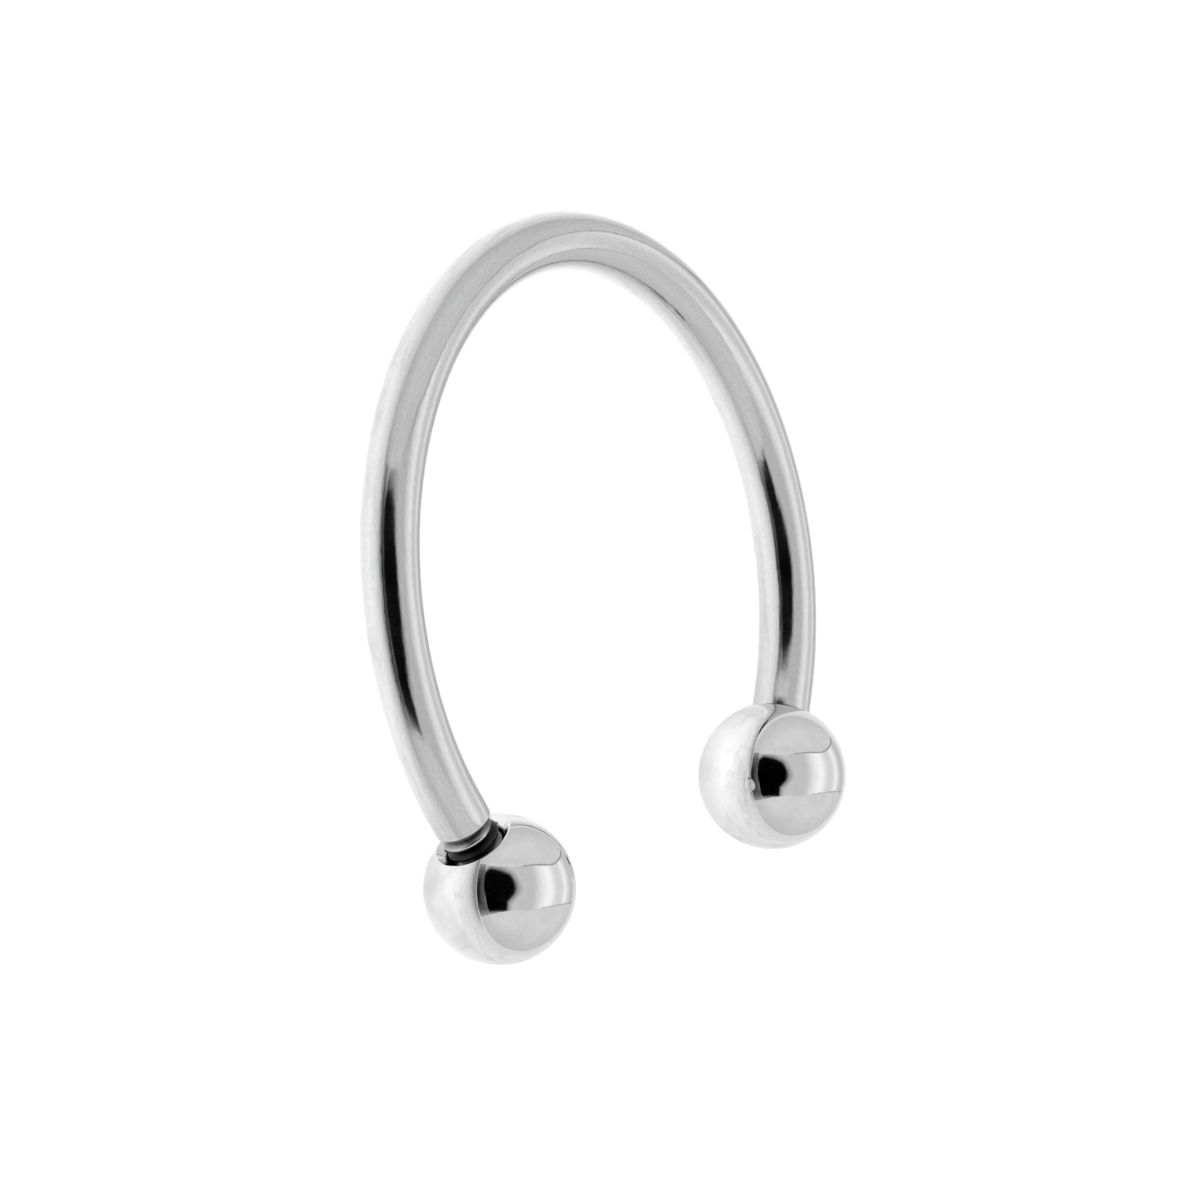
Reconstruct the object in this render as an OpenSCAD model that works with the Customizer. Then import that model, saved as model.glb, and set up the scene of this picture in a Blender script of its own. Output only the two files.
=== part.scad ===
// Horseshoe barbell: a steel wire bent to an open ring, with a ball screwed on each threaded end.
// Millimetres. The jewel lies on its side on z = 0, resting on both balls and on the crown of
// its bend. +Y points from the gap between the balls to the crown, and +X to the ball screwed home.

/* [Bar] */
// Diameter of the wire
wire_d = 1.2; // [0.8:0.05:1.6]
// Inner diameter of the bend
inner_d = 12.7; // [9:0.1:16]
// How far round the wire is bent, in degrees
bend_angle = 239; // [215:1:255]
// Straight stretch of whole wire between the bend and the shoulder
straight_l = 0.45; // [0.2:0.05:1.5]

/* [Thread] */
// Length of each threaded end, from the shoulder to the tip
thread_l = 1.8; // [1.4:0.05:2.2]
// Distance from one turn of the thread to the next
thread_pitch = 0.25; // [0.2:0.01:0.3]
// Height of the thread's ridge over its root
thread_h = 0.12; // [0.06:0.01:0.16]
// How far the thread's crests lie below the surface of the wire
thread_step = 0.03; // [0.01:0.01:0.08]
// Plain groove between the shoulder and the first turn
groove_l = 0.02; // [0.02:0.01:0.2]
// Where round the wire the thread starts, in degrees from the outside of the bend
thread_start = 200; // [0:5:355]
// Bevel at the thread's tip
tip_bevel = 0.1; // [0.05:0.01:0.15]

/* [Balls] */
// Diameter of each ball
ball_d = 3.05; // [2.6:0.05:4]
// How far the mouth of a ball's hole is wider than the wire, on each side
mouth_margin = 0.2; // [0.1:0.01:0.25]

/* [Fit] */
// Clearance between the thread's crests and the wall of a ball's hole
hole_clear = 0.03; // [0.02:0.005:0.06]
// Room beyond the thread's tip at the bottom of the hole, with the ball screwed home
tip_room = 0.2; // [0.1:0.05:0.3]
// Gap from the shoulder to the mouth of a ball that is screwed home
home_gap = 0.06; // [0.02:0.01:0.15]
// Turns by which the left ball is screwed back from home
left_turns_back = 1.5; // [0:0.25:2]

/* [Hidden] */
LEFT = -1;
RIGHT = 1;
ROUND = 96;          // sides of a circle in a quick view
THREAD_SIDES = 24;   // steps of the thread's ridge for each turn
BURIED = 0.05;       // how far the threaded end is let into the wire
SPARE = 2;           // degrees by which the bend is made too long at each end, then cut square
// The ridge's outline along one pitch: where each corner is, and its share of the ridge's height
RIDGE = [[0, 0], [0.02, 0], [0.37, 1], [0.63, 1]];
AT = 0;              // column of RIDGE: place along the pitch
HEIGHT = 1;          // column of RIDGE: share of the height
CORNERS = len(RIDGE);
FADE_TURNS = 0.25;   // turns over which the ridge rises at its start and sinks at its end

wire_r = wire_d / 2;
ball_r = ball_d / 2;
bend_r = inner_d / 2 + wire_r;
crest_r = wire_r - thread_step;
root_r = crest_r - thread_h;
tip_r = root_r - tip_bevel / 2;
mouth_r = wire_r + mouth_margin;
hole_r = crest_r + hole_clear;
// Distance from a ball's centre to the plane of its mouth
mouth_h = sqrt(ball_r * ball_r - mouth_r * mouth_r);
// A hole's countersink narrows as much as it deepens
sink_l = mouth_r - hole_r;
hole_l = thread_l - home_gap + tip_room;

// Gap from shoulder to mouth at each ball, and the distance from the bend's end to its centre
function gap(side) = home_gap + (side == LEFT ? left_turns_back * thread_pitch : 0);
function reach(side) = straight_l + gap(side) + mouth_h;

// Ball centres in the plane of the bend, whose centre is at the origin
function end_angle(side) = 90 - side * bend_angle / 2;
function ball_at(side) = [
    bend_r * cos(end_angle(side)) + side * reach(side) * sin(end_angle(side)),
    bend_r * sin(end_angle(side)) - side * reach(side) * cos(end_angle(side)),
    0
];

// The jewel tips about the line through its ball centres until the crown's wire meets the floor
left_at = ball_at(LEFT);
right_at = ball_at(RIGHT);
line = (right_at - left_at) / norm(right_at - left_at);
line_h = cross(left_at, line).z;
tilt = asin((ball_r - wire_r) / (line_h + bend_r));

// The middle of the tipped jewel's outline, seen from above
bend_mid = (1 - cos(tilt)) * line_h * [line.y, -line.x];
bend_half = [
    bend_r * sqrt(1 - pow(sin(tilt) * line.y, 2)) + wire_r,
    bend_r * sqrt(1 - pow(sin(tilt) * line.x, 2)) + wire_r
];
low_y = min(left_at.y, right_at.y) - ball_r;
mid = [bend_mid.x, (bend_mid.y + bend_half.y + low_y) / 2, 0];

// Lays its children, made flat in the plane of the bend, down in the resting pose
module at_rest() {
    translate([0, 0, ball_r] - mid + left_at)
        rotate(a = -tilt, v = line)
            translate(-left_at)
                children();
}

// Puts its children at an end of the bend, with +Z running on along the wire
module at_end(side) {
    rotate([0, 0, end_angle(side)])
        translate([bend_r, 0, 0])
            rotate([side * 90, 0, 0])
                children();
}

// A round bar or hole from its outline, given as [radius, height] corners
module turned(outline) {
    rotate_extrude($fn = ROUND)
        polygon(outline);
}

// The threaded end, from z = -BURIED to its tip at z = thread_l. A step is one side of a turn.
start_z = groove_l;
STEPS = floor(THREAD_SIDES * ((thread_l - tip_bevel / 2 - start_z) / thread_pitch - 1));
function fade(step) =
    min(1, step / (THREAD_SIDES * FADE_TURNS), (STEPS - step) / (THREAD_SIDES * FADE_TURNS));
function beveled(r, z) = min(r, tip_r + thread_l - z);
function on_screw(r, step, z) =
    let (angle = thread_start + 360 * step / THREAD_SIDES)
    [beveled(r, z) * cos(angle), beveled(r, z) * sin(angle), z];
function screw_z(step, corner) =
    start_z + thread_pitch * (step / THREAD_SIDES + RIDGE[corner][AT]);
function screw_point(step, corner) =
    on_screw(root_r + thread_h * RIDGE[corner][HEIGHT] * fade(step), step, screw_z(step, corner));

screw_points = concat(
    [for (i = [0 : THREAD_SIDES - 1]) on_screw(root_r, i, -BURIED)],
    [for (i = [0 : THREAD_SIDES - 1]) on_screw(tip_r, STEPS + i, thread_l)],
    [for (step = [0 : STEPS + THREAD_SIDES]) screw_point(step, 0)],
    [for (step = [0 : STEPS], corner = [1 : CORNERS - 1]) screw_point(step, corner)]
);
function base(i) = i % THREAD_SIDES;
function top(i) = THREAD_SIDES + i % THREAD_SIDES;
function root(step) = 2 * THREAD_SIDES + step;
function ridge(step, corner) =
    corner == 0 ? root(step)
    : corner == CORNERS ? root(step + THREAD_SIDES)
    : root(STEPS + THREAD_SIDES + 1) + step * (CORNERS - 1) + corner - 1;
// Two triangles over four corners, given clockwise as seen from outside
function four(a, b, c, d) = [[a, b, c], [a, c, d]];

screw_faces = concat(
    [[for (i = [0 : THREAD_SIDES - 1]) base(i)]],
    [[for (i = [THREAD_SIDES - 1 : -1 : 0]) top(i)]],
    [for (i = [0 : THREAD_SIDES - 2], f = four(base(i), root(i), root(i + 1), base(i + 1))) f],
    four(base(THREAD_SIDES - 1), root(THREAD_SIDES - 1), root(0), base(0)),
    [for (c = [0 : CORNERS - 1]) [root(THREAD_SIDES - 1), ridge(0, c + 1), ridge(0, c)]],
    [for (step = [0 : STEPS - 1], c = [0 : CORNERS - 1],
        f = four(ridge(step, c), ridge(step, c + 1), ridge(step + 1, c + 1), ridge(step + 1, c))) f],
    [for (c = [0 : CORNERS - 1]) [root(STEPS + 1), ridge(STEPS, c), ridge(STEPS, c + 1)]],
    four(root(STEPS + 1), root(STEPS + THREAD_SIDES), top(0), top(1)),
    [for (i = [1 : THREAD_SIDES - 1],
        f = four(root(STEPS + i), top(i), top(i + 1), root(STEPS + i + 1))) f]
);

module threaded_end() {
    polyhedron(points = screw_points, faces = screw_faces);
}

// The bent wire, cut square where its straight ends begin
module bend() {
    difference() {
        rotate([0, 0, end_angle(RIGHT) - SPARE])
            rotate_extrude(angle = bend_angle + 2 * SPARE, $fn = 2 * ROUND)
                translate([bend_r, 0])
                    circle(r = wire_r, $fn = ROUND);
        for (side = [LEFT, RIGHT])
            at_end(side)
                translate([-wire_d, -wire_d, 0])
                    cube(2 * wire_d);
    }
}

module bar() {
    color("silver")
        at_rest() {
            bend();
            for (side = [LEFT, RIGHT])
                at_end(side) {
                    cylinder(h = straight_l, r = wire_r, $fn = ROUND);
                    translate([0, 0, straight_l])
                        threaded_end();
                }
        }
}

// A ball on its end of the bar, with its hole's mouth towards the shoulder
module ball(side) {
    at_rest()
        at_end(side)
            translate([0, 0, reach(side)])
                difference() {
                    sphere(r = ball_r, $fn = ROUND);
                    turned([
                        [0, -ball_r],
                        [mouth_r, -ball_r],
                        [mouth_r, -mouth_h],
                        [hole_r, sink_l - mouth_h],
                        [hole_r, hole_l - mouth_h],
                        [0, hole_l - mouth_h + hole_r / 2]
                    ]);
                }
}

module left_ball() {
    color("gainsboro")
        ball(LEFT);
}

module right_ball() {
    color("gainsboro")
        ball(RIGHT);
}

bar();
left_ball();
right_ball();
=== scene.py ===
"""Looks of a horseshoe barbell: an open ring of polished steel with a ball on each end.

Each class models its pieces in millimetres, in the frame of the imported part, and writes them to
meshes in metres. The jewel lies on its side on a pale floor, inside a small studio tent whose
walls show only in the steel's reflections.
"""

import logging
import math
from collections.abc import Iterable
from dataclasses import dataclass
from enum import Enum

import bmesh
import bpy
from mathutils import Matrix, Vector


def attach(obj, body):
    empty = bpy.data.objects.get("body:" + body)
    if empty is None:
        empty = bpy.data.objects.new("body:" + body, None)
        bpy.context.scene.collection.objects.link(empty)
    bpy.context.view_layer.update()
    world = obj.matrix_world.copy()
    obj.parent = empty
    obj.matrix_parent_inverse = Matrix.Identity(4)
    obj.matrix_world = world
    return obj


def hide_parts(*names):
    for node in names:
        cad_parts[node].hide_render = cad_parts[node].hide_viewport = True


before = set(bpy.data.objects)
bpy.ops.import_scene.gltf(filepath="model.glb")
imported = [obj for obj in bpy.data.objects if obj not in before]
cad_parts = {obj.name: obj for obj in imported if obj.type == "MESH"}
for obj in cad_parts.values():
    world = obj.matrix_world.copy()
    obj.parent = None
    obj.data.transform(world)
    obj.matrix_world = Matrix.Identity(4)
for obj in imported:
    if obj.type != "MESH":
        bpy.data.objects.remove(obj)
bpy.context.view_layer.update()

LOG = logging.getLogger("barbell")
MM = 0.001
UP = Vector((0, 0, 1))
ORIGIN = (0, 0, 0)
WHITE = (1, 1, 1, 1)
BLACK = (0, 0, 0, 1)

LAY = "lay"  # attribute: a point's place on the wire, as if the wire had never been bent
CUT_AND_SHADE = "cut"  # attribute: 1 where a tool cut the steel and it isn't polished; it also darkens the colour there to near black as painted shade in the thread's roots, where the thread meets a ball, and down the balls' holes
GLOW = "glow"  # attribute: the light that a corner of a card gives off

CREASE = math.radians(40)  # an edge that turns more than this is shaded as sharp
CLOSE = 1e-5  # millimetres within which a cut or a join takes points for one
NEAR = 1e-4  # the same where the parts of the bar join, and for what lies at a height

Tree = bpy.types.NodeTree
Socket = bpy.types.NodeSocket


class Side(Enum):
    """An end of the bent wire, seen from above with the gap nearest."""

    LEFT = -1
    RIGHT = 1


@dataclass(frozen=True)
class Sizes:
    """The jewel's sizes in millimetres and degrees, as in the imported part."""

    wire_d: float = 1.2
    inner_d: float = 12.7
    bend_angle: float = 239
    straight_l: float = 0.45
    thread_l: float = 1.8
    thread_pitch: float = 0.25
    thread_h: float = 0.12
    thread_step: float = 0.03
    groove_l: float = 0.02
    thread_start: float = 200
    tip_bevel: float = 0.1
    ball_d: float = 3.05
    mouth_margin: float = 0.2
    hole_clear: float = 0.03
    tip_room: float = 0.2
    home_gap: float = 0.06
    left_turns_back: float = 1.5

    @property
    def wire_r(self) -> float:
        """Radius of the wire."""
        return self.wire_d / 2

    @property
    def ball_r(self) -> float:
        """Radius of a ball."""
        return self.ball_d / 2

    @property
    def bend_r(self) -> float:
        """Radius of the bend, to the middle of the wire."""
        return self.inner_d / 2 + self.wire_r

    @property
    def crest_r(self) -> float:
        """Radius over the thread's crests."""
        return self.wire_r - self.thread_step

    @property
    def root_r(self) -> float:
        """Radius at the thread's root."""
        return self.crest_r - self.thread_h

    @property
    def tip_r(self) -> float:
        """Radius of the flat at the thread's tip."""
        return self.root_r - self.tip_bevel / 2

    @property
    def mouth_r(self) -> float:
        """Radius of the mouth of a ball's hole."""
        return self.wire_r + self.mouth_margin

    @property
    def hole_r(self) -> float:
        """Radius of a ball's hole past its countersink."""
        return self.crest_r + self.hole_clear

    @property
    def mouth_h(self) -> float:
        """Distance from a ball's centre to the plane of its mouth."""
        return math.sqrt(self.ball_r**2 - self.mouth_r**2)

    @property
    def hole_l(self) -> float:
        """Depth of a ball's hole, from its mouth."""
        return self.thread_l - self.home_gap + self.tip_room

    def reach(self, side: Side) -> float:
        """Distance from an end of the bend to the centre of the ball there."""
        back = self.left_turns_back * self.thread_pitch if side is Side.LEFT else 0
        return self.straight_l + self.home_gap + back + self.mouth_h


@dataclass(frozen=True)
class Pose:
    """Where the jewel's parts lie as it rests on its balls and on the crown of its bend."""

    sizes: Sizes

    def end(self, side: Side) -> Matrix:
        """Frame of an end of the bend, with +Z running on along the wire.

        Args:
            side: the end.

        Returns:
            The frame, in the plane of the bend.
        """
        turn = math.radians(90 - side.value * self.sizes.bend_angle / 2)
        return (
            Matrix.Rotation(turn, 4, "Z")
            @ Matrix.Translation((self.sizes.bend_r, 0, 0))
            @ Matrix.Rotation(math.radians(side.value * 90), 4, "X")
        )

    def ball(self, side: Side) -> Matrix:
        """Frame of a ball, with +Z along its hole, in the plane of the bend."""
        return self.end(side) @ Matrix.Translation((0, 0, self.sizes.reach(side)))

    def rest(self) -> Matrix:
        """The move that lays the jewel down, tipped until the crown's wire meets the floor.

        Returns:
            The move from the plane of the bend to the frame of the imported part.
        """
        s = self.sizes
        left, right = (self.ball(side).translation for side in Side)
        line = (right - left).normalized()
        line_h = left.cross(line).z
        tilt = math.asin((s.ball_r - s.wire_r) / (line_h + s.bend_r))
        middle = Vector((line.y, -line.x, 0)) * ((1 - math.cos(tilt)) * line_h)
        half_y = s.bend_r * math.sqrt(1 - (math.sin(tilt) * line.x) ** 2) + s.wire_r
        low_y = min(left.y, right.y) - s.ball_r
        middle.y = (middle.y + half_y + low_y) / 2
        return (
            Matrix.Translation(UP * s.ball_r - middle + left)
            @ Matrix.Rotation(-tilt, 4, line)
            @ Matrix.Translation(-left)
        )


def between(stops: Iterable, at: float) -> float:
    """Reads a value off a line that runs straight from stop to stop, and level past the last ones.

    Args:
        stops: where each stop is, and its value.
        at: where the value is read.

    Returns:
        The value there.
    """
    places, values = zip(*stops)
    at = max(places[0], min(places[-1], at))
    for left, right, before, after in zip(places, places[1:], values, values[1:]):
        if at <= right:
            return before + (after - before) * (at - left) / (right - left)
    return values[-1]


def points_of(geometry: Iterable) -> list:
    """The vertices among what an operator made."""
    return [g for g in geometry if isinstance(g, bmesh.types.BMVert)]


def edges_of(geometry: Iterable) -> list:
    """The edges among what an operator made."""
    return [g for g in geometry if isinstance(g, bmesh.types.BMEdge)]


def edges_at(verts: Iterable) -> list:
    """The edges that meet at vertices, each once."""
    return list(dict.fromkeys(e for v in verts for e in v.link_edges))


def faces_at(verts: Iterable) -> list:
    """The faces that meet at vertices, each once."""
    return list(dict.fromkeys(f for v in verts for f in v.link_faces))


def rims(bm: bmesh.types.BMesh) -> list:
    """The open edges of a shell."""
    return [e for e in bm.edges if e.is_boundary]


def rim_at(bm: bmesh.types.BMesh, height: float) -> list:
    """The open edges of a shell whose both ends are at a height."""
    return [e for e in rims(bm) if all(abs(v.co.z - height) < NEAR for v in e.verts)]


def set_round(vert: bmesh.types.BMVert, radius: float, height: float) -> None:
    """Moves a vertex to a radius and a height, and keeps its angle about the Z axis."""
    flat = Vector((vert.co.x, vert.co.y, 0))
    vert.co = flat * (radius / flat.length) + UP * height


def step_on(bm: bmesh.types.BMesh, rim: list, radius: float, height: float) -> list:
    """Grows a round rim by one ring, centred on the Z axis.

    Args:
        bm: the shell.
        rim: the open edges to grow from.
        radius: radius of the new rim; at 0 the shell closes.
        height: height of the new rim.

    Returns:
        The edges of the new rim.
    """
    grown = bmesh.ops.extrude_edge_only(bm, edges=rim)["geom"]
    fresh = points_of(grown)
    for v in fresh:
        set_round(v, radius, height)
    edges = [e for e in edges_of(grown) if e.is_boundary]
    if radius == 0:
        bmesh.ops.pointmerge(bm, verts=fresh, merge_co=UP * height)
        return []
    return edges


def to_object(name: str, bm: bmesh.types.BMesh, move: Matrix) -> bpy.types.Object:
    """Writes a finished shell to a new object at the origin.

    Args:
        name: name of the piece.
        bm: the shell in millimetres, which is freed.
        move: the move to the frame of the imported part, in millimetres.

    Returns:
        The object, in metres.
    """
    bmesh.ops.transform(bm, matrix=move, verts=bm.verts)
    bmesh.ops.scale(bm, vec=(MM, MM, MM), verts=bm.verts)
    bmesh.ops.recalc_face_normals(bm, faces=bm.faces)
    mesh = bpy.data.meshes.new(name)
    bm.to_mesh(mesh)
    bm.free()
    mesh.polygons.foreach_set("use_smooth", [True] * len(mesh.polygons))
    mesh.set_sharp_from_angle(angle=CREASE)
    piece = bpy.data.objects.new(name, mesh)
    bpy.context.collection.objects.link(piece)
    return piece


@dataclass(frozen=True)
class Bar:
    """The bent wire with its two threaded ends."""

    sizes: Sizes
    pose: Pose
    wire_sides: int = 96
    bend_steps: int = 480
    edge_round: float = 0.025
    edge_turns: tuple = (0, 22.5, 45, 67.5, 90)
    thread_sides: int = 72
    # Turns that are wound too many at each end, and then cut off
    spare_turns: int = 2
    # Corners of one turn of the thread: place along the pitch, and share of the ridge's height
    ridge: tuple = ((0.02, 0), (0.37, 1), (0.63, 1), (1.0, 0))
    ridge_end: tuple = (1.15, 0)
    # How far from a corner its rounding starts, and the most of a side that this may take
    ridge_round: float = 0.05
    round_limit: float = 0.45
    fade_turns: float = 0.25
    # Turns from the shoulder, and how dull the thread is there; dull also means darker with painted
    # shade, most in the root and in the turns where the thread meets a ball's mouth
    root_dull_and_shade: tuple = ((1.0, 0.85), (1.2, 1.0), (2.1, 1.0), (2.7, 0.72))
    crest_dull_and_shade: tuple = ((1.0, 0.12), (1.2, 0.95), (2.1, 0.95), (2.7, 0.37))

    def build(self) -> bpy.types.Object:
        """Models the whole bar as one closed shell.

        Returns:
            The bar's object.
        """
        s = self.sizes
        bm = bmesh.new()
        lay = bm.verts.layers.float_vector.new(LAY)
        bm.verts.layers.float.new(CUT_AND_SHADE)
        start = self.pose.end(Side.RIGHT)
        circle = bmesh.ops.create_circle(
            bm, segments=self.wire_sides, radius=s.wire_r, matrix=start
        )["verts"]
        bmesh.ops.spin(
            bm, geom=circle + edges_at(circle), cent=ORIGIN, axis=UP, dvec=ORIGIN,
            angle=math.radians(s.bend_angle), steps=self.bend_steps, use_merge=False,
        )
        self.lay_bend(bm, lay)
        for side in Side:
            self.add_end(bm, side)
        bmesh.ops.remove_doubles(bm, verts=bm.verts, dist=NEAR)
        return to_object("steel_bar", bm, self.pose.rest())

    def lay_bend(self, bm: bmesh.types.BMesh, lay: bmesh.types.BMLayerItem) -> None:
        """Notes where each point of the bend lay on the straight wire.

        Args:
            bm: the bent wire.
            lay: the attribute that keeps the place.
        """
        for v in bm.verts:
            along = math.atan2(v.co.x, v.co.y) * self.sizes.bend_r
            v[lay] = Vector((along, v.co.to_2d().length - self.sizes.bend_r, v.co.z))

    def add_end(self, bm: bmesh.types.BMesh, side: Side) -> None:
        """Adds a straight stretch, its shoulder and its thread to an end of the bent wire.

        Args:
            bm: the bar so far.
            side: the end.
        """
        s, soft, top = self.sizes, self.edge_round, self.sizes.straight_l
        end = bmesh.new()
        lay = end.verts.layers.float_vector.new(LAY)
        circle = bmesh.ops.create_circle(end, segments=self.wire_sides, radius=s.wire_r)["verts"]
        rim = step_on(end, edges_at(circle), s.wire_r, top / 2)
        for turn in map(math.radians, self.edge_turns):
            radius = s.wire_r - soft * (1 - math.cos(turn))
            rim = step_on(end, rim, radius, top - soft * (1 - math.sin(turn)))
        rim = step_on(end, rim, s.root_r + soft, top)
        rim = step_on(end, rim, s.root_r, top + soft)
        self.add_thread(end, top, rim)
        for v in end.verts:
            along = math.radians(s.bend_angle / 2) * s.bend_r + v.co.z
            v[lay] = Vector((side.value * along, v.co.x, side.value * v.co.y))
        # The mask also paints shade: near black in the thread's roots and where the thread meets a
        # ball
        cut = end.verts.layers.float.new(CUT_AND_SHADE)
        for v in end.verts:
            v[cut] = self.dull_and_shaded(v.co, top) if v.co.z > top + soft / 2 else 0
        bmesh.ops.transform(end, matrix=self.pose.end(side), verts=end.verts)
        mesh = bpy.data.meshes.new("end")
        end.to_mesh(mesh)
        end.free()
        bm.from_mesh(mesh)
        bpy.data.meshes.remove(mesh)

    def dull_and_shaded(self, place: Vector, top: float) -> float:
        """How dull the thread is at a point, and how dark with painted shade: most in its root, and
        darkest where it meets a ball.

        Args:
            place: the point, with +Z along the straight end.
            top: height of the shoulder.

        Returns:
            A share from 0 for polished to 1 for dull and darkened with painted shade.
        """
        s = self.sizes
        height = max(0, min(1, (place.to_2d().length - s.root_r) / s.thread_h))
        turn = (place.z - top) / s.thread_pitch
        root, crest = between(self.root_dull_and_shade, turn), between(self.crest_dull_and_shade, turn)
        return root + (crest - root) * height**4

    def add_thread(self, end: bmesh.types.BMesh, top: float, neck: list) -> None:
        """Winds the thread onto a straight end and closes its tip.

        Args:
            end: the straight end, with +Z along it.
            top: height of the shoulder.
            neck: the open rim that the thread starts from.
        """
        plain = set(end.verts)
        rise = self.sizes.thread_pitch / self.thread_sides
        self.wind(end, top + self.sizes.groove_l, rise)
        wound = [v for v in end.verts if v not in plain]
        bmesh.ops.remove_doubles(end, verts=wound, dist=rise / 4)
        for v in end.verts:
            if v not in plain:
                set_round(v, self.thread_r(v.co, top), v.co.z)
        foot, tip = top + 2 * self.edge_round, top + self.sizes.thread_l
        for height, below in ((foot, True), (tip, False)):
            wound = [v for v in end.verts if v not in plain]
            bmesh.ops.bisect_plane(
                end, geom=wound + edges_at(wound) + faces_at(wound), dist=CLOSE,
                plane_co=UP * height, plane_no=UP, clear_inner=below, clear_outer=not below,
            )
        bmesh.ops.bridge_loops(end, edges=neck + rim_at(end, foot))
        bmesh.ops.contextual_create(end, geom=rim_at(end, tip))

    def wind(self, end: bmesh.types.BMesh, start: float, rise: float) -> None:
        """Winds the ridge's outline round a straight end, from before its start to past its tip.

        Args:
            end: the straight end, with +Z along it.
            start: height at which the thread starts.
            rise: how far the thread climbs in one step.
        """
        s = self.sizes
        first = start - s.thread_pitch * (self.spare_turns + s.thread_start / 360)
        chain = [
            end.verts.new((s.root_r + s.thread_h * height, 0, first + s.thread_pitch * at))
            for at, height in self.ridge_line()
        ]
        links = [end.edges.new(pair) for pair in zip(chain, chain[1:])]
        turns = s.thread_l / s.thread_pitch + 2 * self.spare_turns
        steps = round(turns * self.thread_sides)
        bmesh.ops.spin(
            end, geom=chain + links, cent=ORIGIN, axis=UP, dvec=UP * rise,
            angle=2 * math.pi * steps / self.thread_sides, steps=steps, use_merge=False,
        )

    def thread_r(self, place: Vector, top: float) -> float:
        """Radius of the thread where the ridge was wound, with its faded ends and beveled tip.

        Args:
            place: a point of the wound ridge, with +Z along the straight end.
            top: height of the shoulder.

        Returns:
            The radius that the point moves to.
        """
        s = self.sizes
        tip, start = top + s.thread_l, top + s.groove_l
        if place.z >= tip:
            return s.tip_r
        angle = (math.atan2(place.y, place.x) / (2 * math.pi) - s.thread_start / 360) % 1
        begun = ((place.z - start) / s.thread_pitch - angle) // 1 + angle
        left = (tip - s.tip_bevel / 2 - start) / s.thread_pitch - 1 - begun
        fade = max(0, min(1, begun / self.fade_turns, left / self.fade_turns))
        radius = s.root_r + (place.to_2d().length - s.root_r) * fade
        return min(radius, s.tip_r + tip - place.z)

    def ridge_line(self) -> list[tuple[float, float]]:
        """Outline of one turn of the thread, with rounded corners.

        Returns:
            Corners as place along the pitch and share of the ridge's height.
        """
        line = [(0.0, 0.0)]
        corners = ((0.0, 0), *self.ridge, self.ridge_end)
        for before, corner, after in zip(corners, corners[1:], corners[2:]):
            if corner[0] >= 1:
                break
            into, out = (self.toward(corner, other) for other in (before, after))
            middle = tuple((2 * c + i + o) / 4 for c, i, o in zip(corner, into, out))
            line += [into, middle, out]
        return line + [(1.0, 0.0)]

    def toward(self, corner: tuple, other: tuple) -> tuple[float, float]:
        """A point a little way from one corner of the ridge toward another."""
        share = min(self.round_limit, self.ridge_round / abs(other[0] - corner[0]))
        return tuple(c + (o - c) * share for c, o in zip(corner, other))


@dataclass(frozen=True)
class Ball:
    """A screw-on ball with a countersunk blind hole."""

    sizes: Sizes
    pose: Pose
    side: Side
    # Faces round the hole's axis, and from end to end of it
    sides: int = 160
    bands: int = 120
    lip_round: float = 0.02

    def build(self) -> bpy.types.Object:
        """Models the ball as one closed shell.

        Returns:
            The ball's object.
        """
        s, lip = self.sizes, self.lip_round
        bm = bmesh.new()
        bmesh.ops.create_uvsphere(
            bm, u_segments=self.sides, v_segments=self.bands, radius=s.ball_r
        )
        rim_h = -math.sqrt(s.ball_r**2 - (s.mouth_r + lip) ** 2)
        bmesh.ops.bisect_plane(
            bm, geom=list(bm.verts) + list(bm.edges) + list(bm.faces), dist=CLOSE,
            plane_co=UP * rim_h, plane_no=UP, clear_inner=True,
        )
        rim = rims(bm)
        for radius, height in self.hole_line(rim_h):
            rim = step_on(bm, rim, radius, height)
        # The bore is drilled and left unpolished, and its near-black colour is painted shade down
        # the hole
        cut = bm.verts.layers.float.new(CUT_AND_SHADE)
        for v in bm.verts:
            in_hole = v.co.to_2d().length < s.hole_r + 2 * lip and v.co.length < s.ball_r - lip
            v[cut] = float(in_hole)
        bmesh.ops.remove_doubles(bm, verts=bm.verts, dist=CLOSE)
        name = f"{self.side.name.lower()}_steel_ball"
        return to_object(name, bm, self.pose.rest() @ self.pose.ball(self.side))

    def hole_line(self, rim_h: float) -> list[tuple[float, float]]:
        """Outline of the hole, from its rounded lip to the point at its bottom.

        Args:
            rim_h: height at which the lip leaves the ball's surface.

        Returns:
            Radius and height of each corner.
        """
        s, lip = self.sizes, self.lip_round
        sink = s.mouth_r - s.hole_r
        return [
            # Round the lip
            (s.mouth_r + lip * 0.3, (2 * rim_h - s.mouth_h) / 3 + lip * 0.05),
            (s.mouth_r - lip * 0.5, lip * 0.5 - s.mouth_h),
            # Down the countersink, and over its soft edge into the bore
            (s.hole_r + sink / 3, sink * 2 / 3 - s.mouth_h),
            (s.hole_r + lip, sink - lip - s.mouth_h),
            (s.hole_r, sink + lip - s.mouth_h),
            # Down the bore to its end, and to the point that the drill left
            (s.hole_r, s.hole_l - s.mouth_h),
            (0, s.hole_l - s.mouth_h + s.hole_r / 2),
        ]


def feed(tree: Tree, given: Socket | float | tuple, socket: Socket) -> None:
    """Links a node's input to what is given, or sets it where that is a constant.

    Args:
        tree: the node tree.
        given: a socket or a constant.
        socket: the input.
    """
    if isinstance(given, Socket):
        tree.links.new(given, socket)
    else:
        socket.default_value = given


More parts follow.
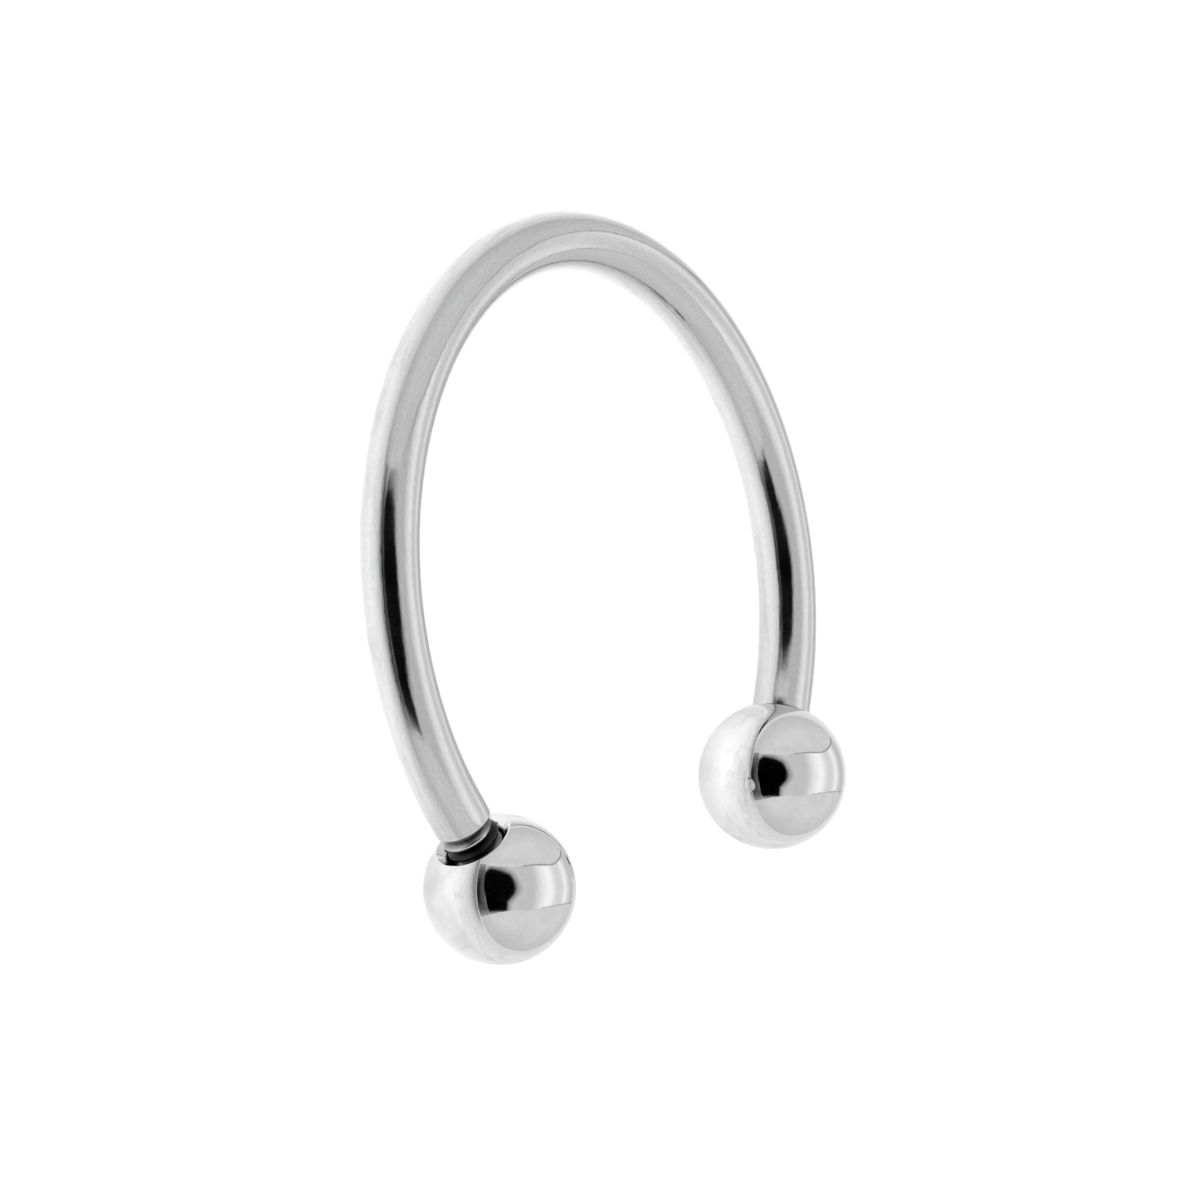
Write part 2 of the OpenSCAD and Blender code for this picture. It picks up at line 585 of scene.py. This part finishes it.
def spread(tree: Tree, value: Socket, ends: tuple, smooth: bool = False) -> Socket:
    """Adds a node that spreads a value over a range.

    Args:
        tree: the node tree.
        value: what comes in.
        ends: its low and high end, and what each becomes.
        smooth: eases the change at both ends.

    Returns:
        The new value.
    """
    node = tree.nodes.new("ShaderNodeMapRange")
    node.interpolation_type = "SMOOTHSTEP" if smooth else "LINEAR"
    for name, end in zip(("From Min", "From Max", "To Min", "To Max"), ends):
        node.inputs[name].default_value = end
    tree.links.new(value, node.inputs["Value"])
    return node.outputs["Result"]


def reckoned(tree: Tree, operation: str, first: Socket, second: Socket) -> Socket:
    """Adds a node that reckons one value from two.

    Args:
        tree: the node tree.
        operation: what the Math node does.
        first: its first value.
        second: its second value.

    Returns:
        The new value.
    """
    node = tree.nodes.new("ShaderNodeMath")
    node.operation = operation
    tree.links.new(first, node.inputs[0])
    tree.links.new(second, node.inputs[1])
    return node.outputs["Value"]


def times(tree: Tree, value: Socket, *others: Socket) -> Socket:
    """Adds nodes that multiply values.

    Args:
        tree: the node tree.
        value: the first value.
        others: those that it is multiplied by.

    Returns:
        The product.
    """
    for other in others:
        value = reckoned(tree, "MULTIPLY", value, other)
    return value


def measured(tree: Tree, operation: str, place: Socket, given: Vector) -> Socket:
    """Adds a node that measures a place against a given vector.

    Args:
        tree: the node tree.
        operation: DISTANCE or DOT_PRODUCT.
        place: the place.
        given: the vector.

    Returns:
        The measure.
    """
    node = tree.nodes.new("ShaderNodeVectorMath")
    node.operation = operation
    node.inputs[1].default_value = given
    tree.links.new(place, node.inputs[0])
    return node.outputs["Value"]


def blend(
    tree: Tree, share: Socket, first: Socket | float | tuple, second: Socket | float | tuple,
    coloured: bool = False,
) -> Socket:
    """Adds a node that goes over from one value or colour to another.

    Args:
        tree: the node tree.
        share: 0 for the first and 1 for the second.
        first: a socket or a constant.
        second: a socket or a constant.
        coloured: whether they are colours.

    Returns:
        The blend.
    """
    node = tree.nodes.new("ShaderNodeMix")
    node.data_type = "RGBA" if coloured else "FLOAT"
    for given, name in ((share, "Factor"), (first, "A"), (second, "B")):
        feed(tree, given, node.inputs[name])
    return node.outputs["Result"]


def noise(
    tree: Tree, place: Socket, scale: Socket | float, detail: float = 2, distortion: float = 0
) -> Socket:
    """Adds a node that gives smooth random values around a half.

    Args:
        tree: the node tree.
        place: where they are read.
        scale: how fine they are.
        detail: how many finer layers are added.
        distortion: how much they are twisted.

    Returns:
        The values.
    """
    node = tree.nodes.new("ShaderNodeTexNoise")
    for name, given in (
        ("Vector", place), ("Scale", scale), ("Detail", detail), ("Distortion", distortion)
    ):
        feed(tree, given, node.inputs[name])
    return node.outputs["Fac"]


def attribute(tree: Tree, name: str) -> bpy.types.Node:
    """Adds a node that reads an attribute of the mesh.

    Args:
        tree: the node tree.
        name: name of the attribute.

    Returns:
        The node.
    """
    node = tree.nodes.new("ShaderNodeAttribute")
    node.attribute_name = name
    return node


def new_material(name: str) -> tuple[bpy.types.Material, bpy.types.Node]:
    """Adds a material.

    Args:
        name: its name.

    Returns:
        The material and its Principled shader.
    """
    mat = bpy.data.materials.new(name)
    mat.use_nodes = True
    return mat, mat.node_tree.nodes["Principled BSDF"]


@dataclass(frozen=True)
class SurfaceMarks:
    """A node group that gives steel the fine marks of drawing, bending and polishing."""

    name: str = "surface_marks"
    # Name, kind and first value of each input
    takes: tuple = (
        ("Place", "NodeSocketVector", ORIGIN),
        ("Ripple Scale", "NodeSocketFloat", 5),
        ("Scratch Scale", "NodeSocketFloat", 60),
        ("Ripple Share", "NodeSocketFloat", 0.7),
    )
    gives: tuple = ("Height", "Haze", "Grain")
    ripple_detail: float = 3
    scratch_detail: float = 2
    haze_detail: float = 4

    def group(self) -> Tree:
        """Builds the group the first time, and finds it again after that.

        Returns:
            The node group, with its Height, Haze and Grain outputs from 0 to 1.
        """
        tree = bpy.data.node_groups.get(self.name)
        if tree:
            return tree
        tree = bpy.data.node_groups.new(self.name, "ShaderNodeTree")
        for label, kind, value in self.takes:
            socket = tree.interface.new_socket(label, in_out="INPUT", socket_type=kind)
            socket.default_value = value
        for label in self.gives:
            tree.interface.new_socket(label, in_out="OUTPUT", socket_type="NodeSocketFloat")
        given = tree.nodes.new("NodeGroupInput").outputs
        place, ripple_scale = given["Place"], given["Ripple Scale"]
        ripple = noise(tree, place, ripple_scale, self.ripple_detail)
        scratch = noise(tree, place, given["Scratch Scale"], self.scratch_detail)
        haze = noise(tree, place, ripple_scale, self.haze_detail)
        height = blend(tree, given["Ripple Share"], scratch, ripple)
        out = tree.nodes.new("NodeGroupOutput")
        for label, value in zip(self.gives, (height, haze, scratch)):
            tree.links.new(value, out.inputs[label])
        return tree


@dataclass(frozen=True)
class Steel:
    """Polished surgical steel, duller where a tool worked it and left it unpolished, and darkened
    there to near black as painted shade.
    """

    name: str
    # Whether its marks run along the wire, and how long they are drawn out
    follows_wire: bool = False
    stretch: tuple = (1, 1, 1)
    colour: tuple = (0.74, 0.74, 0.745)
    # Near-black colour where the mask is set: painted shade in the thread's roots, at the joints
    # and down the holes
    cut_colour: tuple = (0.012, 0.012, 0.012)
    # Least and most roughness where it is polished, and the roughness where it is cut
    roughness: tuple = (0.04, 0.07)
    cut_roughness: float = 0.32
    ripple_scale: float = 1.2
    scratch_scale: float = 12
    ripple_share: float = 0.8
    # Depth of the marks, in metres
    depth: float = 1.5e-6
    # Share by which the marks darken and lighten the colour
    mottle: float = 0.02
    # From and to which value of the marks' haze and grain their effect grows
    haze_ends: tuple = (0.35, 0.65)
    grain_ends: tuple = (0.3, 0.7)

    def material(self) -> bpy.types.Material:
        """Builds the finish.

        Returns:
            The material.
        """
        mat, shader = new_material(self.name)
        tree = mat.node_tree
        shader.inputs["Metallic"].default_value = 1
        marks = self.marks(tree).outputs
        bump = tree.nodes.new("ShaderNodeBump")
        bump.inputs["Strength"].default_value = 1
        bump.inputs["Distance"].default_value = self.depth
        tree.links.new(marks["Height"], bump.inputs["Height"])
        tree.links.new(bump.outputs["Normal"], shader.inputs["Normal"])
        cut = attribute(tree, CUT_AND_SHADE).outputs["Fac"]
        polish = spread(tree, marks["Haze"], (*self.haze_ends, *self.roughness))
        roughness = blend(tree, cut, polish, self.cut_roughness)
        tree.links.new(roughness, shader.inputs["Roughness"])
        darker, lighter = (
            (*(share * c for c in self.colour), 1) for share in (1 - self.mottle, 1 + self.mottle)
        )
        grain = spread(tree, marks["Grain"], (*self.grain_ends, 0, 1))
        shades = blend(tree, grain, darker, lighter, coloured=True)
        # Where the mask is set, the colour goes near black: painted shade
        tone = blend(tree, cut, shades, (*self.cut_colour, 1), coloured=True)
        tree.links.new(tone, shader.inputs["Base Color"])
        return mat

    def marks(self, tree: Tree) -> bpy.types.Node:
        """Adds the surface marks, placed on the object or along the wire.

        Args:
            tree: the material's node tree.

        Returns:
            The node of the marks' group.
        """
        if self.follows_wire:
            source, size = attribute(tree, LAY).outputs["Vector"], 1
        else:
            source, size = tree.nodes.new("ShaderNodeTexCoord").outputs["Object"], 1 / MM
        mapping = tree.nodes.new("ShaderNodeMapping")
        mapping.inputs["Scale"].default_value = [k * size for k in self.stretch]
        tree.links.new(source, mapping.inputs["Vector"])
        marks = tree.nodes.new("ShaderNodeGroup")
        marks.node_tree = SurfaceMarks().group()
        tree.links.new(mapping.outputs["Vector"], marks.inputs["Place"])
        marks.inputs["Ripple Scale"].default_value = self.ripple_scale
        marks.inputs["Scratch Scale"].default_value = self.scratch_scale
        marks.inputs["Ripple Share"].default_value = self.ripple_share
        return marks


@dataclass(frozen=True)
class View:
    """The camera's place, and directions from the near ball, from which the tent was measured."""

    eye: Vector
    camera_at: tuple = (-171.92, 29.72, 119.57)
    aim_at: tuple = (0.003, -0.713, 1.229)
    roll: float = 89.713
    lens: float = 312.84
    sensor: float = 36
    # Metres from the camera between which things show
    clip: tuple = (0.01, 10)

    def add_camera(self) -> None:
        """Places the camera as the photograph's stood, rolled a quarter turn."""
        data = bpy.data.cameras.new("camera")
        data.lens, data.sensor_width = self.lens, self.sensor
        data.clip_start, data.clip_end = self.clip
        cam = bpy.data.objects.new("camera", data)
        bpy.context.collection.objects.link(cam)
        look = (Vector(self.aim_at) - Vector(self.camera_at)).to_track_quat("-Z", "Y")
        place = Matrix.Translation(Vector(self.camera_at) * MM)
        roll = Matrix.Rotation(math.radians(self.roll), 4, "Z")
        cam.matrix_world = place @ look.to_matrix().to_4x4() @ roll
        bpy.context.scene.camera = cam

    def direction(self, azimuth: float, elevation: float = 0) -> Vector:
        """A direction in the studio.

        Args:
            azimuth: degrees counterclockwise from the camera, seen from above.
            elevation: degrees above the floor.

        Returns:
            The direction as a unit vector.
        """
        to_camera = Vector(self.camera_at) - self.eye
        a = math.atan2(to_camera.y, to_camera.x) + math.radians(azimuth)
        e = math.radians(elevation)
        return Vector((math.cos(e) * math.cos(a), math.cos(e) * math.sin(a), math.sin(e)))


@dataclass(frozen=True)
class Roof:
    """The light from all round: the tent's roof and the bright opening at its back."""

    view: View
    # Light that the ramp's white stands for
    white: float = 2
    # Degrees up from the back and over to the camera, and the light from there
    stops: tuple = (
        (0, 0.70), (11, 0.68), (17, 0.78), (25, 1.06), (28, 1.14), (32, 1.06), (37, 0.90),
        (44, 0.86), (51, 0.92), (59, 1.15), (64, 1.22), (70, 1.15), (77, 1.04), (83, 0.90),
        (88, 0.77), (94, 0.70), (180, 0.72),
    )

    def build(self) -> None:
        """Sets the world's light."""
        world = bpy.data.worlds.new("roof")
        bpy.context.scene.world = world
        world.use_nodes = True
        tree = world.node_tree
        toward = tree.nodes.new("ShaderNodeTexCoord").outputs["Generated"]
        up = measured(tree, "DOT_PRODUCT", toward, UP)
        back = measured(tree, "DOT_PRODUCT", toward, self.view.direction(180))
        turn = reckoned(tree, "ARCTAN2", up, back)
        ramp = tree.nodes.new("ShaderNodeValToRGB")
        tree.links.new(spread(tree, turn, (0, math.pi, 0, 1)), ramp.inputs["Fac"])
        elements = ramp.color_ramp.elements
        while len(elements) < len(self.stops):
            elements.new(0.5)
        for element, (angle, level) in zip(elements, self.stops):
            element.position = angle / 180
            element.color = (*[level / self.white] * 3, 1)
        light = spread(tree, ramp.outputs["Color"], (0, 1, 0, self.white))
        background = tree.nodes["Background"]
        background.inputs["Color"].default_value = WHITE
        tree.links.new(light, background.inputs["Strength"])


@dataclass(frozen=True)
class Spot:
    """A round spot on the floor, in millimetres, that the steel sees darker with painted shade or
    lighter with painted light.
    """

    at: Vector
    inner: float
    outer: float
    share: float  # of the light outside it

    def light(self, tree: Tree, place: Socket) -> Socket:
        """Adds the nodes for the light at a place: the spot's share inside it, and 1 outside."""
        away = measured(tree, "DISTANCE", place, self.at * MM)
        return spread(tree, away, (self.inner * MM, self.outer * MM, self.share, 1), smooth=True)


@dataclass(frozen=True)
class Floor:
    """The pale floor: even for the camera; for the steel it glows with painted light, a painted
    pool of light round the jewel and painted shade.
    """

    view: View
    balls: list
    half: float = 3000
    roughness: float = 0.9
    # Where the middle of the painted shade towards the camera is, from the near ball
    dim_azimuth: float = -5
    dim_distance: float = 60
    # How far behind each ball its shade is
    shade_distance: float = 2.2
    # A painted pool of light on the floor round the jewel, that only the steel sees
    painted_light_pool: Spot = Spot(at=Vector((-2, 3, 0)), inner=8, outer=14, share=2.2)
    # What the camera sees: the floor's own light, and its colour
    plain_light: float = 0.88
    plain_colour: float = 0.25
    # What the steel sees: how slant it looks at the floor, from and to, and the floor's painted
    # glow from and to
    slant: tuple = (0.2, 0.9, 0.31, 0.05)
    # The same for the noise that clouds the floor, and the share of light that it leaves
    clouds: tuple = (0.33, 0.52, 0.88, 1.02)
    cloud_scale: float = 650
    cloud_detail: float = 4
    cloud_twist: float = 0.6

    def build(self) -> None:
        """Lays the floor."""
        bm = bmesh.new()
        bmesh.ops.create_grid(bm, x_segments=1, y_segments=1, size=self.half)
        floor = to_object("floor", bm, Matrix())
        floor.data.materials.append(self.material())

    def painted_shade_spots(self) -> list[Spot]:
        """The floor's painted shade.

        Returns:
            The painted shade towards the camera, and each ball's painted shadow.
        """
        dim = self.view.eye + self.dim_distance * self.view.direction(self.dim_azimuth)
        spots = [Spot(at=dim, inner=36, outer=58, share=0.38)]
        for ball in self.balls:
            under = ball + self.shade_distance * self.view.direction(180)
            under.z = 0
            spots.append(Spot(at=under, inner=3, outer=6, share=0.88))
        return spots

    def material(self) -> bpy.types.Material:
        """Builds the floor's finish.

        Returns:
            The material.
        """
        mat, shader = new_material("floor")
        tree = mat.node_tree
        shader.inputs["Roughness"].default_value = self.roughness
        shader.inputs["Specular IOR Level"].default_value = 0
        shader.inputs["Emission Color"].default_value = WHITE
        facing = tree.nodes.new("ShaderNodeLayerWeight")
        facing.inputs["Blend"].default_value = 0.5
        slant = spread(tree, facing.outputs["Facing"], self.slant)
        place = tree.nodes.new("ShaderNodeTexCoord").outputs["Object"]
        # For the steel the floor glows with painted light: a pool of light round the jewel, and
        # painted shade towards the camera and behind each ball, over random clouds
        painted_light_pool = self.painted_light_pool.light(tree, place)
        cloudy = noise(tree, place, self.cloud_scale, self.cloud_detail, self.cloud_twist)
        shades = [spot.light(tree, place) for spot in self.painted_shade_spots()]
        dimmed = times(tree, spread(tree, cloudy, self.clouds), *shades)
        own_light = times(tree, slant, painted_light_pool, dimmed)
        # The steel sees the painted light and shade in the floor's glow and colour; the camera sees
        # the floor evenly bright
        camera = tree.nodes.new("ShaderNodeLightPath").outputs["Is Camera Ray"]
        for name, steel_sees, camera_sees in (
            ("Emission Strength", own_light, self.plain_light),
            ("Base Color", dimmed, self.plain_colour),
        ):
            tree.links.new(blend(tree, camera, steel_sees, camera_sees), shader.inputs[name])
        return mat


@dataclass(frozen=True)
class Glow:
    """The finish of the cards: each corner gives off its own light, less near the floor."""

    # From and to which height in metres the light grows, and the share of it from and to
    height: tuple = (0.0, 0.065, 0.86, 1.02)
    # The same for the noise that makes faint folds
    folds: tuple = (0.35, 0.65, 0.96, 1.04)
    fold_scale: float = 14

    def material(self) -> bpy.types.Material:
        """Builds the finish the first time, and finds it again after that.

        Returns:
            The material.
        """
        mat = bpy.data.materials.get(GLOW)
        if mat:
            return mat
        mat, shader = new_material(GLOW)
        tree = mat.node_tree
        shader.inputs["Base Color"].default_value = BLACK
        shader.inputs["Specular IOR Level"].default_value = 0
        shader.inputs["Emission Color"].default_value = WHITE
        place = tree.nodes.new("ShaderNodeTexCoord").outputs["Object"]
        lower = spread(tree, measured(tree, "DOT_PRODUCT", place, UP), self.height)
        folds = spread(tree, noise(tree, place, self.fold_scale), self.folds)
        light = times(tree, attribute(tree, GLOW).outputs["Fac"], lower, folds)
        tree.links.new(light, shader.inputs["Emission Strength"])
        return mat


@dataclass(frozen=True)
class Wall:
    """An upright wall of the tent. Places on it are along it, and up from the near ball."""

    azimuth: float
    distance: float
    level: float


@dataclass(frozen=True)
class Tent:
    """The tent's walls with their seams, the camera's dark front and the edge of the table.

    They were measured by what each hides from the near ball. Only the steel sees them.
    """

    view: View
    foot: float = -1.4
    top: float = 188
    left_wall: Wall = Wall(azimuth=-95, distance=120, level=0.8)
    right_wall: Wall = Wall(azimuth=105, distance=94, level=0.81)
    # How far in front of its wall a seam hangs
    seam_gap: float = 0.5
    front_distance: float = 245
    table_distance: float = 236
    # Azimuth and elevation along the line where the camera's front meets the table's edge
    underside: tuple = ((-23, 10.3), (-12, 9.8), (0, 10.8), (12.5, 12.8), (22, 11.8), (33, 14))
    # Degrees by which the camera's front is grown all round, and the light there
    halo: tuple = ((0, 0), (2, 0.06), (5, 0.3), (9, 0.5), (14, 0.64), (19, 0.73))
    halo_middle: tuple = (2, 33)
    # Share of the growth that goes down
    halo_down: float = 0.03
    # Left, right, low and high edge of each outline of the table's edge, and the light there
    table: tuple = (
        (-8, 16, 0.5, 3.6, 0.02), (-14, 21, -0.2, 5.0, 0.06), (-20, 26, -0.3, 8, 0.11),
        (-26, 31, -0.35, 20, 0.14), (-37, 39, -0.4, 20, 0.42), (-46, 48, -0.45, 20, 0.65),
    )
    table_steps: int = 8

    def build(self) -> None:
        """Hangs everything."""
        self.hang_walls()
        self.hang_camera_front()
        self.hang_table_edge()

    def card(self, name: str, rings: list) -> None:
        """Hangs a card that only the steel sees.

        Args:
            name: name of the card.
            rings: its outlines from the innermost to the outermost, each a list of corners
                from the near ball and the light that they give off.
        """
        bm = bmesh.new()
        light = bm.verts.layers.float.new(GLOW)
        inner = None
        for corners, level in rings:
            outer = [bm.verts.new(self.view.eye + corner) for corner in corners]
            for vert in outer:
                vert[light] = level
            if inner is None:
                bm.faces.new(outer)
            else:
                for k in range(len(outer)):
                    bm.faces.new((inner[k - 1], outer[k - 1], outer[k], inner[k]))
            inner = outer
        card = to_object(name, bm, Matrix())
        card.data.materials.append(Glow().material())
        card.visible_camera = card.visible_diffuse = card.visible_shadow = False

    def patch(self, name: str, distance: float, rings: list) -> None:
        """Hangs a card by what it hides from the near ball.

        Args:
            name: name of the card.
            distance: how far off it hangs.
            rings: its outlines as azimuths and elevations, and the light that each gives off.
        """
        self.card(name, [
            ([distance * self.view.direction(*corner) for corner in outline], level)
            for outline, level in rings
        ])

    def upright(self, name: str, wall: Wall, outline: list) -> None:
        """Hangs a wall, or a part of one.

        Args:
            name: name of the card.
            wall: where it stands, and the light that it gives off.
            outline: its corners on the wall.
        """
        out, along = self.view.direction(wall.azimuth), self.view.direction(wall.azimuth + 90)
        corners = [out * wall.distance + along * t + UP * z for t, z in outline]
        self.card(name, [(corners, wall.level)])

    def seam_on(self, wall: Wall, level: float) -> Wall:
        """The plane just in front of a wall, for a seam that gives off its own light."""
        return Wall(wall.azimuth, wall.distance - self.seam_gap, level)

    def seam(self, name: str, wall: Wall, line: list, width: float) -> None:
        """Hangs a seam that follows a line across a wall.

        Args:
            name: name of the seam.
            wall: the plane that it hangs in, and the light that it gives off.
            line: points along its middle, the lowest first.
            width: its width.
        """
        left, right = [], []
        for before, point, after in zip(line[:1] + line, line, line[1:] + line[-1:]):
            ahead = (Vector(after) - Vector(before)).normalized()
            off = Vector((-ahead.y, ahead.x)) * width / 2
            left.append((point[0] + off.x, max(self.foot, point[1] + off.y)))
            right.append((point[0] - off.x, max(self.foot, point[1] - off.y)))
        self.upright(name, wall, left + right[::-1])

    def hang_walls(self) -> None:
        """Hangs both walls, each with a seam along its back edge, and one more seam at the left."""
        foot, top = self.foot, self.top
        back = [
            (-246, foot), (-236, 25), (-213, 72), (-196, 100), (-180, 125), (-162, 148),
            (-138, 166), (-105, 180), (-65, 187), (60, 188.5),
        ]
        self.upright("left_wall", self.left_wall, [*back, (208, top), (208, foot)])
        self.seam("left_back_seam", self.seam_on(self.left_wall, level=0.38), back, width=13)
        front_seam = [(60, 182), (165, 182), (165, 191), (60, 194)]
        self.upright("left_front_seam", self.seam_on(self.left_wall, level=0.62), front_seam)
        back = [(253, foot), (242, 12), (194, 89), (147, 138), (80, 177), (35, 188)]
        self.upright("right_wall", self.right_wall, [*back, (-201, top), (-201, foot)])
        self.seam("right_back_seam", self.seam_on(self.right_wall, level=0.55), back, width=10)

    def hang_camera_front(self) -> None:
        """Hangs the dark front of the camera, with a halo that fades all round except below."""
        front = [
            (-29, 45), (-30, 31), (-29, 15.5), *self.underside, (35, 25), (41, 38), (24, 43),
            (18, 49), (11, 54), (0, 56), (-12, 55), (-22, 51),
        ]
        rings = []
        for grown, level in self.halo:
            outline = []
            for corner in front:
                off = (Vector(corner) - Vector(self.halo_middle)).normalized() * grown
                rise = off.y if off.y > 0 else off.y * self.halo_down
                outline.append((corner[0] + off.x, corner[1] + rise))
            rings.append((outline, level))
        self.patch("camera_front", self.front_distance, rings)

    def hang_table_edge(self) -> None:
        """Hangs the dark edge of the table, up to the underside of the camera's front."""
        ceiling = [(-46, 7), (-36, 8.5), *self.underside, (48, 13)]
        rings = []
        for left, right, low, high, level in self.table:
            across = [
                left + (right - left) * k / self.table_steps for k in range(self.table_steps + 1)
            ]
            upper = [(at, min(high, between(ceiling, at))) for at in reversed(across)]
            rings.append(([(at, low) for at in across] + upper, level))
        self.patch("table_edge", self.table_distance, rings)


def main() -> None:
    """Sets up the studio, then builds the pieces in order and dresses them."""
    logging.basicConfig(level=logging.INFO, format="%(message)s")
    sizes = Sizes()
    pose = Pose(sizes)
    balls = [(pose.rest() @ pose.ball(side)).translation for side in Side]
    view = View(eye=balls[0])
    bpy.context.scene.view_settings.view_transform = "Standard"
    view.add_camera()
    Roof(view).build()
    Floor(view, balls).build()
    Tent(view).build()
    bar_steel = Steel(
        "bar_steel", follows_wire=True, stretch=(0.4, 1, 1), colour=(0.62, 0.62, 0.625),
        roughness=(0.09, 0.14), ripple_scale=3, scratch_scale=22, ripple_share=0.93,
        depth=7e-6, mottle=0.04,
    ).material()
    ball_steel = Steel("ball_steel").material()

    bar = Bar(sizes, pose).build()
    bar.data.materials.append(bar_steel)
    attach(bar, "bar")
    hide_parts("bar")
    LOG.info("bar: %d faces", len(bar.data.polygons))
    for side in Side:
        ball = Ball(sizes, pose, side).build()
        ball.data.materials.append(ball_steel)
        node = f"{side.name.lower()}_ball"
        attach(ball, node)
        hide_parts(node)
        LOG.info("%s: %d faces", node, len(ball.data.polygons))


if __name__ == "__main__":
    main()
